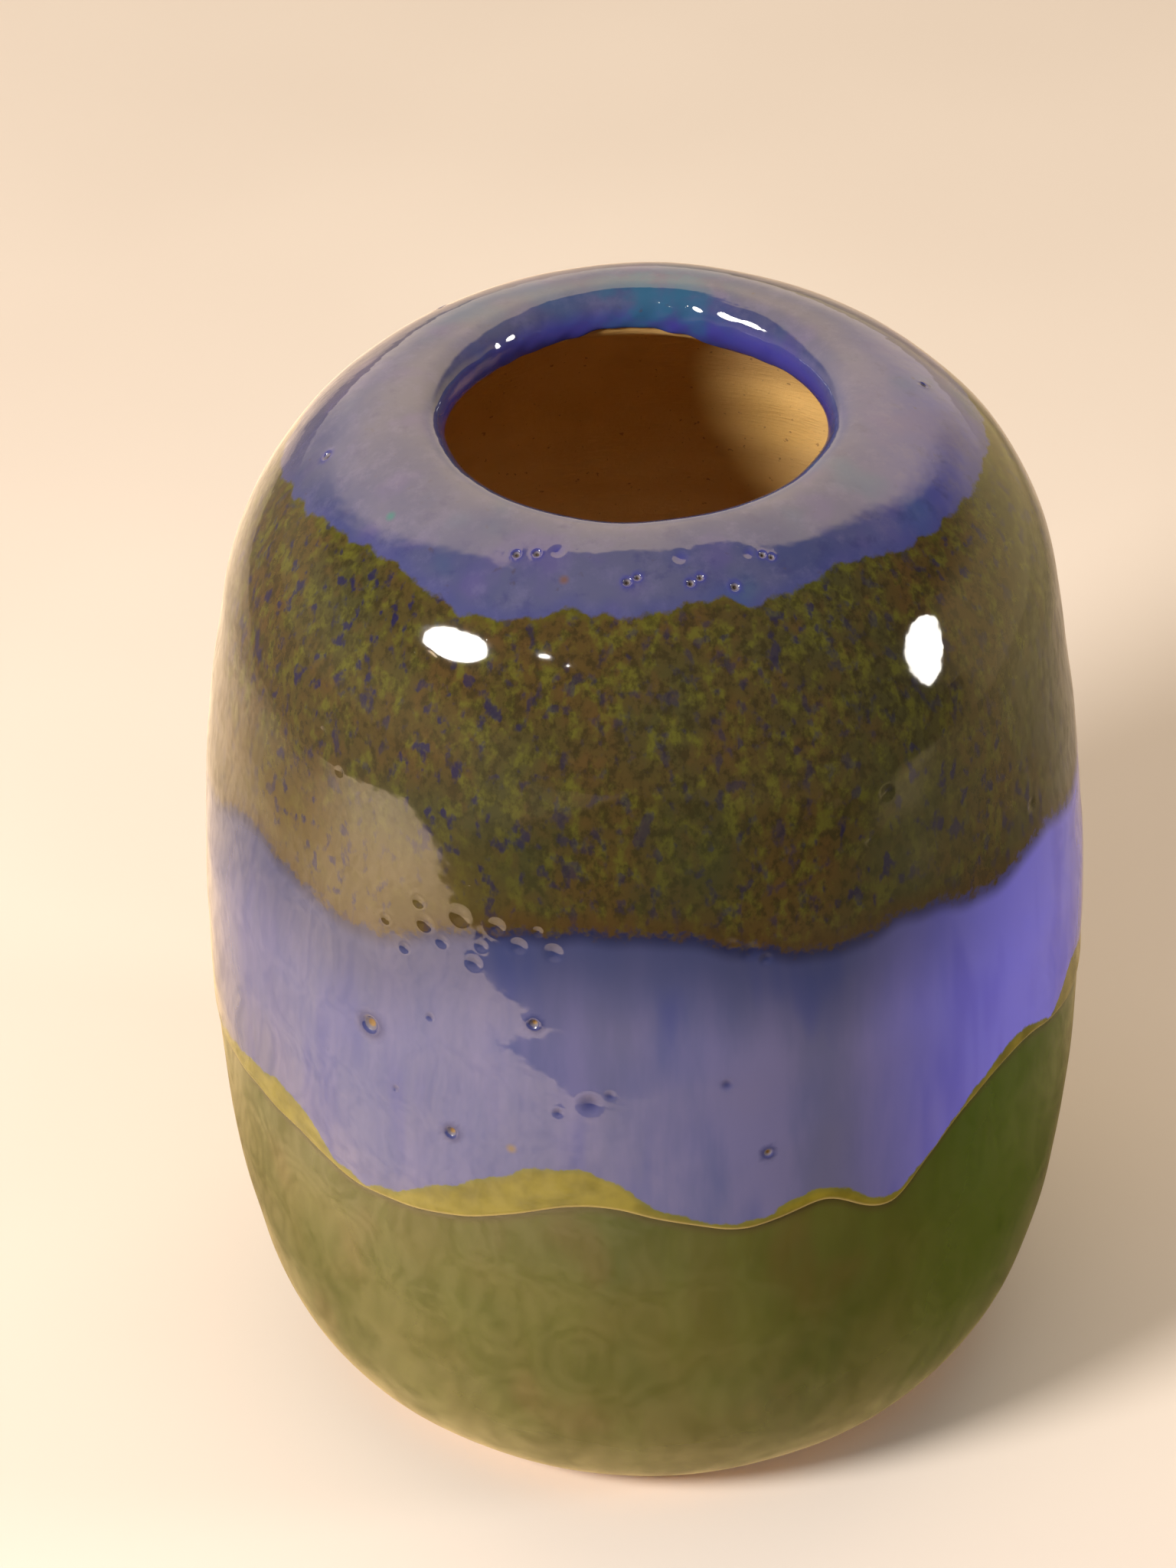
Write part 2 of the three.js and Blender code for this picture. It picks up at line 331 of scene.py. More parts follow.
def ring_faces(rows, columns):
    """Quads between neighbouring rows of a closed ring, facing out where the rows go up."""
    row, column = np.meshgrid(np.arange(rows - 1), np.arange(columns), indexing="ij")
    after = (column + 1) % columns
    quads = [row * columns + column, row * columns + after,
             (row + 1) * columns + after, (row + 1) * columns + column]
    return np.stack(quads, -1).reshape(-1, 4)


def make_object(name, mesh):
    mesh.shade_smooth()
    mesh.set_sharp_from_angle(angle=np.radians(55))
    piece = bpy.data.objects.new(name, mesh)
    bpy.context.scene.collection.objects.link(piece)
    return piece


def add_values(mesh, name, values):
    attribute = mesh.attributes.new(name, "FLOAT", "POINT")
    attribute.data.foreach_set("value", np.asarray(values, np.float32).ravel())


def read_values(mesh, name):
    values = np.zeros(len(mesh.vertices), np.float32)
    mesh.attributes[name].data.foreach_get("value", values)
    return values.astype(float)


def row_shares(low, high, edge_low, edge_high, columns_turns):
    """Runs of a coat's rows at every column: evenly spaced, and closer at its edges."""
    start, end = low(columns_turns), high(columns_turns)
    fine = np.array([0, 0.04, 0.1, 0.18, 0.28, 0.4, 0.55])
    at_start = fine if edge_low else fine[:1]
    at_end = fine if edge_high else fine[:1]
    first, last = start + at_start[-1], end - at_end[-1]
    steps = max(2, int(np.ceil((last - first).mean() / PITCH)))
    rows = [start + step for step in at_start[:-1]]
    rows += [first + (last - first) * k / steps for k in range(steps + 1)]
    rows += [end - step for step in at_end[-2::-1]]
    return np.array(rows)


def refine_at_bubbles(mesh):
    """Cuts the outer faces round each bubble finely enough to hold its shape."""
    work = bmesh.new()
    work.from_mesh(mesh)
    turn_of = work.verts.layers.float["turn"]
    run_of = work.verts.layers.float["run"]
    outer_of = work.verts.layers.float["outer"]
    work.verts.ensure_lookup_table()
    turns = np.array([v[turn_of] for v in work.verts])
    runs = np.array([v[run_of] for v in work.verts])
    outer = np.array([v[outer_of] for v in work.verts])
    near = np.zeros(len(turns), bool)
    for bubble in PINHOLES + DIMPLES:
        reach = 1.25 + 0.3 / bubble[2]
        near |= (from_bubble(turns, runs, bubble) < reach) & (outer > 0.5)
    edges = [e for e in work.edges if near[e.verts[0].index] and near[e.verts[1].index]]
    if edges:
        bmesh.ops.subdivide_edges(work, edges=edges, cuts=3, use_grid_fill=True)
    work.to_mesh(mesh)
    work.free()


def coat(name, low, high, low_end, high_end, lifted=True, lap=0.0):
    """A closed shell of glaze between two lines. Its ends are "round" where bare clay shows
    beyond them, "flush" where it meets the next coat, and "under" where it laps below one."""
    turns = -180 + 360 * np.arange(COLUMNS) / COLUMNS
    edge_low = low_end == "round" or low is green_end
    outer = row_shares(low, lambda t: high(t) + lap, edge_low, high_end == "round", turns)
    inner_steps = max(2, int(outer.shape[0] / 9))
    shares = np.linspace(1, 0, inner_steps + 1)[:, None]
    inner = outer[0] + (outer[-1] - outer[0]) * shares
    runs = np.concatenate([outer, inner])
    rows = len(runs)
    faces = ring_faces(rows, COLUMNS)
    last_row = (rows - 1) * COLUMNS + np.arange(COLUMNS)
    first_row = np.arange(COLUMNS)
    closing = np.stack([last_row, np.roll(last_row, -1), np.roll(first_row, -1), first_row], 1)
    faces = np.concatenate([faces, closing])

    mesh = bpy.data.meshes.new(name)
    mesh.from_pydata(np.zeros((rows * COLUMNS, 3)), [], faces.tolist())
    add_values(mesh, "turn", np.tile(turns, rows))
    add_values(mesh, "run", runs)
    add_values(mesh, "outer", np.repeat(np.arange(rows) < len(outer), COLUMNS))
    refine_at_bubbles(mesh)

    turn, run = read_values(mesh, "turn"), read_values(mesh, "run")
    is_outer = read_values(mesh, "outer") > 0.5
    rise, fall = run - low(turn), high(turn) - run
    relief = thrown_relief(turn, run)
    lift = relief + bubble_relief(turn, run) + lip_lumps(turn, run)
    if lifted:
        lift += overcoat_lift(turn, run) - OVERCOAT_LIFT
    else:
        lift -= OVERCOAT_LIFT
    if low_end == "round":
        lift += rounded_end(rise, END_WIDTH, END_DEPTH)
    if high_end == "round":
        lift += rounded_end(fall, END_WIDTH, END_DEPTH)
    if high_end == "under":
        lift -= LAP_SINK * np.clip(-fall / lap * 3, 0, 1)
    into_clay = 0.02
    lift = np.where(is_outer, lift, relief - GLAZE - into_clay)
    points = place(turn, run, lift) * MM
    mesh.vertices.foreach_set("co", points.astype(np.float32).ravel())

    bare, pool = np.zeros(len(turn)), np.zeros(len(turn))
    for bubble in PINHOLES:
        q = from_bubble(turn, run, bubble)
        bare = np.maximum(bare, np.clip(1.5 - 1.7 * q, 0, 1))
        pool = np.maximum(pool, np.exp(-((q - 1.1) / 0.5) ** 2))
    for bubble in DIMPLES:
        q = from_bubble(turn, run, bubble)
        pool = np.maximum(pool, np.exp(-(q / 0.7) ** 2))
    add_values(mesh, "rise", rise)
    add_values(mesh, "fall", fall)
    add_values(mesh, "bare", bare)
    add_values(mesh, "pool", pool)
    add_values(mesh, "past_crest", run - CREST_RUN)
    mesh.update()
    return make_object(name, mesh)


def softened(corners, radius, count=6):
    """A [r, z] polyline with its inner corners rounded off."""
    corners = [np.array(c, float) for c in corners]
    points = [corners[0]]
    for before, corner, after in zip(corners, corners[1:], corners[2:]):
        into, out = corner - before, after - corner
        start = corner - into * min(0.45, radius / np.linalg.norm(into))
        end = corner + out * min(0.45, radius / np.linalg.norm(out))
        for t in np.linspace(0, 1, count):
            points.append((1 - t) ** 2 * start + 2 * t * (1 - t) * corner + t * t * end)
    points.append(corners[-1])
    return np.array(points)


def clay_vessel():
    """The fired clay: underside and foot ring, outside, lip, and the thrown inside."""
    turns = -180 + 360 * np.arange(CLAY_COLUMNS) / CLAY_COLUMNS
    ring_outer = FOOT_RADIUS - 0.7
    ring_inner = ring_outer - FOOT_RING_WIDTH
    under = softened([(0.6, FOOT_RECESS), (ring_inner - 1.4, FOOT_RECESS), (ring_inner, 0),
                      (ring_outer, 0), (ring_outer + 0.9, 0.55)], 0.5)
    turning_mark = 4.2           # between the tool marks on the underside
    angle = np.radians(turns)
    rows = []
    for r, z in under[:-1]:
        mark = 0.1 * np.cos(2 * np.pi * r / turning_mark) if z > FOOT_RECESS - 0.01 else 0
        rows.append(np.stack([r * np.sin(angle), -r * np.cos(angle),
                              np.full_like(angle, z + mark)], -1))

    lip_rows = np.linspace(CREST_RUN, LIP_END_RUN, 40)
    for run in np.concatenate([np.linspace(1.2, 6, 14), np.arange(7, CREST_RUN, 1.2), lip_rows]):
        runs = np.full_like(turns, run)
        rows.append(place(turns, runs, thrown_relief(turns, runs) - GLAZE))

    lip_end = place(turns[:1], np.array([LIP_END_RUN]), np.array([-GLAZE]))[0]
    lip_reach, lip_height = np.hypot(lip_end[0], lip_end[1]), lip_end[2]
    shoulder = (SHOULDER_RADIUS - WALL, SHOULDER_HEIGHT - 1)
    belly = (BELLY_RADIUS - WALL, BELLY_HEIGHT)
    inside = np.concatenate([
        bezier((lip_reach, lip_height), (lip_reach + 6, lip_height),
               (shoulder[0] - 7 * SHOULDER_LEAN, SHOULDER_HEIGHT + 6), shoulder, 60)[1:],
        bezier(shoulder, (shoulder[0] + 10 * SHOULDER_LEAN, SHOULDER_HEIGHT - 11),
               (belly[0], BELLY_HEIGHT + 14), belly, 60)[1:],
        bezier(belly, (belly[0], BELLY_HEIGHT / 2), (FLOOR_FLAT_RADIUS + 12, FLOOR_TOP),
               (FLOOR_FLAT_RADIUS, FLOOR_TOP), 70)[1:],
        np.stack([np.linspace(FLOOR_FLAT_RADIUS - 0.8, 0.6, 26), np.full(26, FLOOR_TOP)], 1),
    ])
    length = np.concatenate([[0], np.cumsum(np.hypot(*np.diff(inside, axis=0).T))])
    along = np.gradient(inside, length, axis=0)
    ring_pitch = 5.5
    top_relief = thrown_relief(turns, np.full_like(turns, LIP_END_RUN))
    for (r, z), step, (dr, dz) in zip(inside, length, along):
        finger = 0.08 * np.cos(2 * np.pi * step / ring_pitch + angle) * min(1, step / 8)
        finger *= min(1, r / 6)
        blend_in = top_relief * max(0, 1 - step / 6)
        reach = r + dz * finger
        rows.append(np.stack([reach * np.sin(angle), -reach * np.cos(angle),
                              z - dr * finger - blend_in], -1))

    points = np.concatenate(rows)
    count = len(rows)
    faces = ring_faces(count, CLAY_COLUMNS).tolist()
    bottom, top = len(points), len(points) + 1
    points = np.concatenate([points, [[0, 0, FOOT_RECESS + 0.1], [0, 0, FLOOR_TOP]]])
    last = (count - 1) * CLAY_COLUMNS
    for column in range(CLAY_COLUMNS):
        after = (column + 1) % CLAY_COLUMNS
        faces.append([bottom, after, column])
        faces.append([top, last + column, last + after])
    mesh = bpy.data.meshes.new("thrown_clay_body")
    mesh.from_pydata(points * MM, [], faces)
    mesh.update()
    return make_object("thrown_clay_body", mesh)


# ---------------------------------------------------------------- materials


class Nodes:
    """A node tree. Its calls add nodes and give back their outputs."""

    def __init__(self, tree):
        self.tree = tree

    def add(self, kind, inputs, output=0, **settings):
        node = self.tree.nodes.new(kind)
        for setting, value in settings.items():
            setattr(node, setting, value)
        for socket, value in inputs.items():
            if isinstance(value, bpy.types.NodeSocket):
                self.tree.links.new(value, node.inputs[socket])
            else:
                node.inputs[socket].default_value = value
        return node.outputs[output]

    def split(self, vector):
        """The x, y and z of a vector."""
        x = self.add("ShaderNodeSeparateXYZ", {0: vector})
        return x, x.node.outputs[1], x.node.outputs[2]

    def math(self, operation, a, b=0.0, c=0.0):
        return self.add("ShaderNodeMath", {0: a, 1: b, 2: c}, operation=operation)

    def times(self, *factors):
        product = factors[0]
        for factor in factors[1:]:
            product = self.math("MULTIPLY", product, factor)
        return product

    def scaled(self, value, scale, start):
        """start where the value is 0, and start plus scale where it is 1."""
        return self.math("MULTIPLY_ADD", value, scale, start)

    def ramp(self, value, low, high):
        """0 below low, 1 above high, smooth between."""
        return self.add("ShaderNodeMapRange", {
            "Value": value, "From Min": low, "From Max": high}, interpolation_type="SMOOTHSTEP")

    def mix(self, share, a, b):
        """Colour a where the share is 0 and b where it is 1."""
        colours = {"Factor": share}
        for socket, value in ((6, a), (7, b)):
            plain = isinstance(value, tuple)
            colours[socket] = (*value, 1.0) if plain else value
        return self.add("ShaderNodeMix", colours, 2, data_type="RGBA")


class Finish(Nodes):
    """A material on the Principled shader, worked out in millimetres."""

    def __init__(self, name, **constants):
        self.material = bpy.data.materials.new(name)
        self.material.use_nodes = True
        super().__init__(self.material.node_tree)
        self.shader = self.tree.nodes["Principled BSDF"]
        for socket, constant in constants.items():
            self.shader.inputs[socket.replace("_", " ")].default_value = constant
        coordinates = self.add("ShaderNodeTexCoord", {}, "Object")
        self.place = self.add("ShaderNodeVectorMath", {0: coordinates, "Scale": 1 / MM},
                              operation="SCALE")
        self.across, self.back, self.height = self.split(self.place)

    def attribute(self, name):
        return self.add("ShaderNodeAttribute", {}, "Fac", attribute_name=name)

    def painted_lit_side(self):
        """0 over most of the pot, 1 on its right side, where the colours are painted brighter and
        more saturated: painted light for how light falls on that side.
        """
        return self.ramp(self.across, 14, 33)

    def stretched(self, scale, tall, shift):
        """Coordinates for a texture with that many features per mm, drawn out upwards."""
        return self.add("ShaderNodeMapping", {
            "Vector": self.place, "Scale": (scale, scale, scale / tall),
            "Location": (shift, shift * 0.7, shift * 1.3)})

    def noise(self, scale, tall=1.0, detail=2.0, rough=0.5, shift=0.0):
        return self.add("ShaderNodeTexNoise", {
            "Vector": self.stretched(scale, tall, shift), "Scale": 1.0, "Detail": detail,
            "Roughness": rough}, "Fac")

    def near(self, turn, run, reach, share):
        """1 within that share of its reach from a point of the pot's surface, falling to 0."""
        point = place(np.array([turn]), np.array([run]), np.array([0.0]))[0]
        away = self.add("ShaderNodeVectorMath", {0: self.place, 1: tuple(point)}, "Value",
                        operation="DISTANCE")
        return self.ramp(away, reach, reach * share)

    def bump(self, height, distance, normal=None):
        inputs = {"Height": height, "Distance": distance * MM, "Strength": 1.0}
        if normal is not None:
            inputs["Normal"] = normal
        return self.add("ShaderNodeBump", inputs)

    def out(self, socket, value):
        self.tree.links.new(value, self.shader.inputs[socket])


GLOSS = {"IOR": 1.5}
BARE_CLAY = (0.22, 0.13, 0.045)
PALE_EDGE = (0.13, 0.115, 0.15)


def glaze_skin(finish, colour, peel_depth=0.022, hole=BARE_CLAY):
    """What every coat shares: pinholes down to the clay, tiny pits, orange peel and gloss."""
    bare = finish.ramp(finish.attribute("bare"), 0.2, 0.5)
    bottom = finish.mix(finish.ramp(finish.attribute("bare"), 0.7, 0.95), PALE_EDGE, hole)
    colour = finish.mix(bare, colour, bottom)
    finish.out("Base Color", colour)
    smear = finish.noise(0.09, detail=3, shift=40)
    gloss = finish.scaled(smear, 0.08, 0.01)
    finish.out("Roughness", finish.math("MAXIMUM", gloss, finish.times(bare, 0.7)))
    peel = finish.bump(finish.noise(0.35, detail=2, shift=9), peel_depth)
    pits = finish.ramp(finish.noise(1.1, shift=70), 0.74, 0.80)
    finish.out("Normal", finish.bump(pits, -0.006, peel))
    return finish.material


def olive_colour(finish):
    """Olive glaze: soft mottle of green, yellow-green and brown with blue flecks drawn downwards."""
    cloud = finish.noise(0.06, tall=1.3, detail=3, shift=3)
    body = finish.mix(finish.ramp(cloud, 0.36, 0.62), (0.040, 0.038, 0.013), (0.056, 0.036, 0.011))
    brown = finish.ramp(finish.noise(0.42, tall=1.4, detail=4, rough=0.6, shift=37), 0.46, 0.70)
    body = finish.mix(finish.times(brown, 0.5), body, (0.074, 0.040, 0.014))
    green = finish.ramp(finish.noise(0.7, tall=1.5, detail=3, rough=0.6, shift=23), 0.46, 0.68)
    body = finish.mix(finish.times(green, 0.75), body, (0.080, 0.079, 0.012))
    dark = finish.ramp(finish.noise(1.3, tall=1.4, detail=3, rough=0.6, shift=11), 0.42, 0.66)
    body = finish.mix(finish.times(dark, 0.68), body, (0.020, 0.016, 0.007))
    low = finish.times(finish.ramp(finish.height, 87, 73), finish.ramp(cloud, 0.72, 0.40))
    body = finish.mix(finish.times(low, 0.6), body, (0.030, 0.034, 0.015))
    mustard = finish.times(finish.ramp(finish.height, 82, 72), finish.ramp(finish.across, -8, -20))
    body = finish.mix(finish.times(mustard, 0.45), body, (0.115, 0.068, 0.016))
    aside = finish.ramp(finish.math("ABSOLUTE", finish.across), 3, 20)
    where = finish.ramp(finish.noise(0.07, detail=2, shift=51), 0.36, 0.6)
    where = finish.scaled(finish.times(where, aside), 0.45, 0.45)
    fleck = finish.ramp(finish.noise(0.9, tall=1.6, detail=3, rough=0.5, shift=67), 0.54, 0.68)
    return finish.mix(finish.times(fleck, where), body, (0.011, 0.010, 0.044))


def blue_colour(finish):
    """Lilac-blue glaze with soft upright streaks and cloudy patches; its right side is painted a
    brighter, purer blue, painted light for how light falls there.
    """
    cloud = finish.noise(0.045, tall=1.6, detail=3, shift=81)
    body = finish.mix(finish.ramp(cloud, 0.35, 0.68), (0.068, 0.080, 0.205), (0.098, 0.098, 0.190))
    streak = finish.noise(0.17, tall=5.0, detail=4, rough=0.6, shift=93)
    body = finish.mix(finish.times(finish.ramp(streak, 0.4, 0.7), 0.6), body,
                      (0.135, 0.125, 0.26))
    deep = finish.ramp(finish.noise(0.2, tall=5.0, detail=2, shift=17), 0.52, 0.7)
    body = finish.mix(finish.times(deep, 0.6), body, (0.045, 0.056, 0.21))
    # Painted light: the right side is painted a brighter, purer blue.
    lit_side_share = finish.times(finish.painted_lit_side(), 0.9)
    body = finish.mix(lit_side_share, body, finish.mix(deep, (0.18, 0.175, 0.84), (0.145, 0.135, 0.76)))
    body = finish.mix(finish.near(-18, run_at(48.9), 0.75, 0.1), body, (0.17, 0.11, 0.03))
    pool = finish.times(finish.attribute("pool"), 0.85)
    return finish.mix(pool, body, (0.024, 0.030, 0.12))


def rim_colour(finish):
    """Violet-blue glaze that pools teal and runs deep cobalt inside the lip."""
    cloud = finish.noise(0.11, detail=4, shift=29)
    body = finish.mix(finish.ramp(cloud, 0.35, 0.66), (0.038, 0.046, 0.125), (0.065, 0.068, 0.135))
    # Painted light: the right side of the rim is painted a brighter, purer blue.
    lit_side_share = finish.times(finish.painted_lit_side(), 0.7)
    body = finish.mix(lit_side_share, body, (0.075, 0.075, 0.36))
    violet = finish.ramp(finish.noise(0.16, detail=3, shift=77), 0.5, 0.7)
    body = finish.mix(finish.times(violet, 0.5), body, (0.075, 0.060, 0.18))
    milk = finish.ramp(finish.noise(0.45, detail=5, rough=0.7, shift=84), 0.45, 0.72)
    body = finish.mix(finish.times(milk, 0.45), body, (0.100, 0.095, 0.190))
    ink = finish.ramp(finish.noise(0.5, detail=4, rough=0.65, shift=91), 0.52, 0.74)
    body = finish.mix(finish.times(ink, 0.45), body, (0.026, 0.028, 0.105))
    inside = finish.ramp(finish.attribute("past_crest"), 2.2, 4.8)
    body = finish.mix(finish.times(inside, 0.8), body, (0.036, 0.034, 0.26))
    teal = finish.ramp(finish.noise(0.10, detail=2, shift=44), 0.55, 0.72)
    pool = finish.times(finish.near(172, CREST_RUN + 1.5, 9.0, 0.2),
                       finish.ramp(finish.noise(0.3, detail=3, shift=8), 0.35, 0.6))
    teal = finish.math("MAXIMUM", finish.times(teal, 0.5), pool)
    body = finish.mix(finish.times(teal, 0.8), body, (0.015, 0.085, 0.16))
    body = finish.mix(finish.near(-15, run_at(98.3), 0.65, 0.1), body, (0.11, 0.06, 0.05))
    body = finish.mix(finish.near(-56, run_at(98.2), 0.7, 0.1), body, (0.0, 0.10, 0.12))
    speck = finish.ramp(finish.noise(0.9, detail=2, shift=58), 0.68, 0.82)
    body = finish.mix(finish.times(speck, 0.7), body, (0.05, 0.04, 0.06))
    pool = finish.times(finish.attribute("pool"), 0.6)
    return finish.mix(pool, body, (0.03, 0.032, 0.19))


def yellow_colour(finish):
    patch = finish.noise(0.35, detail=3, shift=65)
    return finish.mix(finish.ramp(patch, 0.3, 0.7), (0.115, 0.097, 0.005), (0.19, 0.155, 0.012))


def green_colour(finish):
    """Olive-green base glaze, clouded, with soft upright runs; its right side is painted a deeper,
    purer green, painted light for how light falls there.
    """
    cloud = finish.noise(0.07, tall=1.6, detail=3, shift=73)
    body = finish.mix(finish.ramp(cloud, 0.35, 0.65), (0.036, 0.052, 0.002), (0.062, 0.062, 0.006))
    run = finish.noise(0.22, tall=4.0, detail=3, shift=87)
    body = finish.mix(finish.times(finish.ramp(run, 0.45, 0.72), 0.5), body,
                      (0.070, 0.082, 0.010))
    brown = finish.ramp(finish.noise(0.12, tall=2.0, detail=2, shift=99), 0.55, 0.72)
    body = finish.mix(finish.times(brown, 0.5), body, (0.075, 0.05, 0.008))
    # Painted light: the right side is painted a deeper, purer green.
    return finish.mix(finish.times(finish.painted_lit_side(), 0.85), body, (0.040, 0.078, 0.001))


def ragged(finish, above, width, scale, shift):
    """0 to 1 across a line, from the distance above it, with an edge broken up by noise."""
    wander = finish.math("SUBTRACT", finish.noise(scale, detail=4, rough=0.6, shift=shift), 0.5)
    pushed = finish.math("ADD", above, finish.times(wander, width * 3))
    return finish.ramp(pushed, -width / 2, width / 2)


def below_top(finish):
    """Distance above a coat's upper line, so negative within the coat."""
    return finish.times(finish.attribute("fall"), -1.0)


def yellow_to_blue(finish, above, blue):
    yellow = yellow_colour(finish)
    under = finish.times(finish.ramp(above, -0.7, 0.0), 0.5)
    yellow = finish.mix(under, yellow, (0.10, 0.11, 0.03))
    return finish.mix(ragged(finish, above, 0.3, 1.2, 5), yellow, blue)


def blue_to_olive(finish, above, blue, olive):
    """The blue darkens to navy and the olive to brown where they run together."""
    below = finish.times(finish.ramp(above, -12, -1), 0.75)
    below = finish.times(below, finish.scaled(finish.painted_lit_side(), -0.8, 1.0))
    blue = finish.mix(below, blue, (0.024, 0.032, 0.090))
    near_olive = finish.times(finish.ramp(above, -1.9, -0.1), 0.75)
    blue = finish.mix(near_olive, blue, (0.009, 0.010, 0.034))
    near_blue = finish.times(finish.ramp(above, 2.6, 0.2), 0.55)
    olive = finish.mix(near_blue, olive, (0.050, 0.027, 0.009))
    return finish.mix(ragged(finish, above, 1.1, 1.3, 31), blue, olive)


def olive_to_rim(finish, above, olive, rim):
    """A yellow-green fringe, then the rim's blue, deepest along its edge."""
    wander = finish.times(finish.noise(0.6, detail=4, rough=0.65, shift=19), 6.0)
    fringe = finish.ramp(finish.math("ADD", above, wander), 1.6, 4.2)
    olive = finish.mix(finish.times(fringe, 0.5), olive, (0.066, 0.072, 0.006))
    deep = finish.times(finish.ramp(above, 1.8, 0.0), 0.4)
    rim = finish.mix(deep, rim, (0.035, 0.040, 0.16))
    return finish.mix(ragged(finish, above, 0.5, 0.9, 61), olive, rim)


def green_finish():
    finish = Finish("green_base_glaze", **GLOSS)
    colour = green_colour(finish)
    near_clay = finish.ramp(finish.attribute("rise"), 0.9, 0.0)
    colour = finish.mix(finish.times(near_clay, 0.7), colour, (0.12, 0.07, 0.02))
    # Painted shadow: the green is darkened for 1.2 mm just below the bead of the coats above.
    bead_shadow = finish.ramp(finish.attribute("fall"), 1.2, 0.0)
    colour = finish.mix(finish.times(bead_shadow, 0.6), colour, (0.05, 0.032, 0.008))
    return glaze_skin(finish, colour)


def yellow_finish():
    finish = Finish("yellow_edge_glaze", **GLOSS)
    colour = yellow_to_blue(finish, below_top(finish), blue_colour(finish))
    # Painted highlight: a pale cream line along the lowest half millimetre of this coat, where light
    # catches the raised bead.
    lip = finish.ramp(finish.attribute("rise"), 0.5, 0.1)
    return glaze_skin(finish, finish.mix(finish.times(lip, 0.7), colour,
                                         (0.40, 0.31, 0.12)))


def blue_finish():
    finish = Finish("blue_band_glaze", **GLOSS)
    blue = blue_to_olive(finish, below_top(finish), blue_colour(finish), olive_colour(finish))
    return glaze_skin(finish, yellow_to_blue(finish, finish.attribute("rise"), blue))


def olive_finish():
    finish = Finish("olive_speckled_glaze", **GLOSS)
    olive = olive_to_rim(finish, below_top(finish), olive_colour(finish), rim_colour(finish))
    return glaze_skin(finish, blue_to_olive(finish, finish.attribute("rise"),
                                            blue_colour(finish), olive))


def rim_finish():
    finish = Finish("blue_rim_glaze", **GLOSS)
    rim = olive_to_rim(finish, finish.attribute("rise"), olive_colour(finish), rim_colour(finish))
    # Painted shade: the bottoms of the rim's pinholes are painted near black, for the shade inside
    # the holes.
    return glaze_skin(finish, rim, peel_depth=0.055, hole=(0.035, 0.022, 0.015))


def clay_finish():
    """Unglazed tan clay: fine grog, iron specks and a dry grain."""
    finish = Finish("bare_tan_clay")
    cloud = finish.noise(0.09, detail=4, shift=15)
    body = finish.mix(finish.ramp(cloud, 0.3, 0.7), (0.66, 0.41, 0.135), (0.74, 0.48, 0.19))
    speck = finish.ramp(finish.noise(1.6, detail=2, shift=33), 0.68, 0.74)
    body = finish.mix(finish.times(speck, 0.6), body, (0.22, 0.11, 0.05))
    finish.out("Base Color", body)
    finish.out("Roughness", finish.ramp(finish.noise(0.8, shift=7), -0.9, 0.7))
    grog = finish.bump(finish.noise(1.4, detail=4, rough=0.65, shift=2), 0.05)
    rings = finish.bump(finish.noise(0.6, tall=0.12, detail=2, shift=55), 0.06, grog)
    finish.out("Normal", rings)
    return finish.material


# ---------------------------------------------------------------- the vase


def add_piece(piece, material, node):
    piece.data.materials.append(material)
    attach(piece, "root")
    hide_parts(node)


add_piece(clay_vessel(), clay_finish(), "clay_body")
add_piece(coat("green_base_coat", green_start, green_end, "round", "under", lifted=False, lap=LAP),
          green_finish(), "green_base_glaze")
add_piece(coat("yellow_edge_coat", green_end, blue_start, "flush", "flush"),
          yellow_finish(), "yellow_edge_glaze")
add_piece(coat("blue_band_coat", blue_start, olive_start, "flush", "flush"),
          blue_finish(), "blue_band_glaze")
add_piece(coat("olive_speckled_coat", olive_start, rim_start, "flush", "flush"),
          olive_finish(), "olive_speckled_glaze")
add_piece(coat("blue_rim_coat", rim_start, rim_end, "flush", "round"),
          rim_finish(), "blue_rim_glaze")

# ---------------------------------------------------------------- stage, lights and camera


def sheet_mesh(name, height, material):
    """A flat square stage sheet under the pot, far wider than the picture."""
    reach = 2500
    corners = [(-reach, -reach), (reach, -reach), (reach, reach), (-reach, reach)]
    mesh = bpy.data.meshes.new(name)
    mesh.from_pydata([(x * MM, y * MM, height * MM) for x, y in corners], [], [(0, 1, 2, 3)])
    mesh.materials.append(material)
    piece = bpy.data.objects.new(name, mesh)
    bpy.context.scene.collection.objects.link(piece)
    return piece


def make_floor():
    finish = Finish("pale_floor", Roughness=0.9, Specular_IOR_Level=0.1)
    tone = finish.ramp(finish.noise(0.01, detail=2), 0.3, 0.7)
    finish.out("Base Color", finish.mix(tone, (0.70, 0.625, 0.57), (0.74, 0.665, 0.61)))
    below_foot = -0.05           # so that the floor and the foot ring don't share a plane
    sheet_mesh("floor", below_foot, finish.material)


# The edges of the table that the glaze shows, and the height of the card that stands for it
TABLE_LEFT, TABLE_RIGHT, TABLE_FRONT = -208, 330, -120
CARD_HEIGHT = 0.3


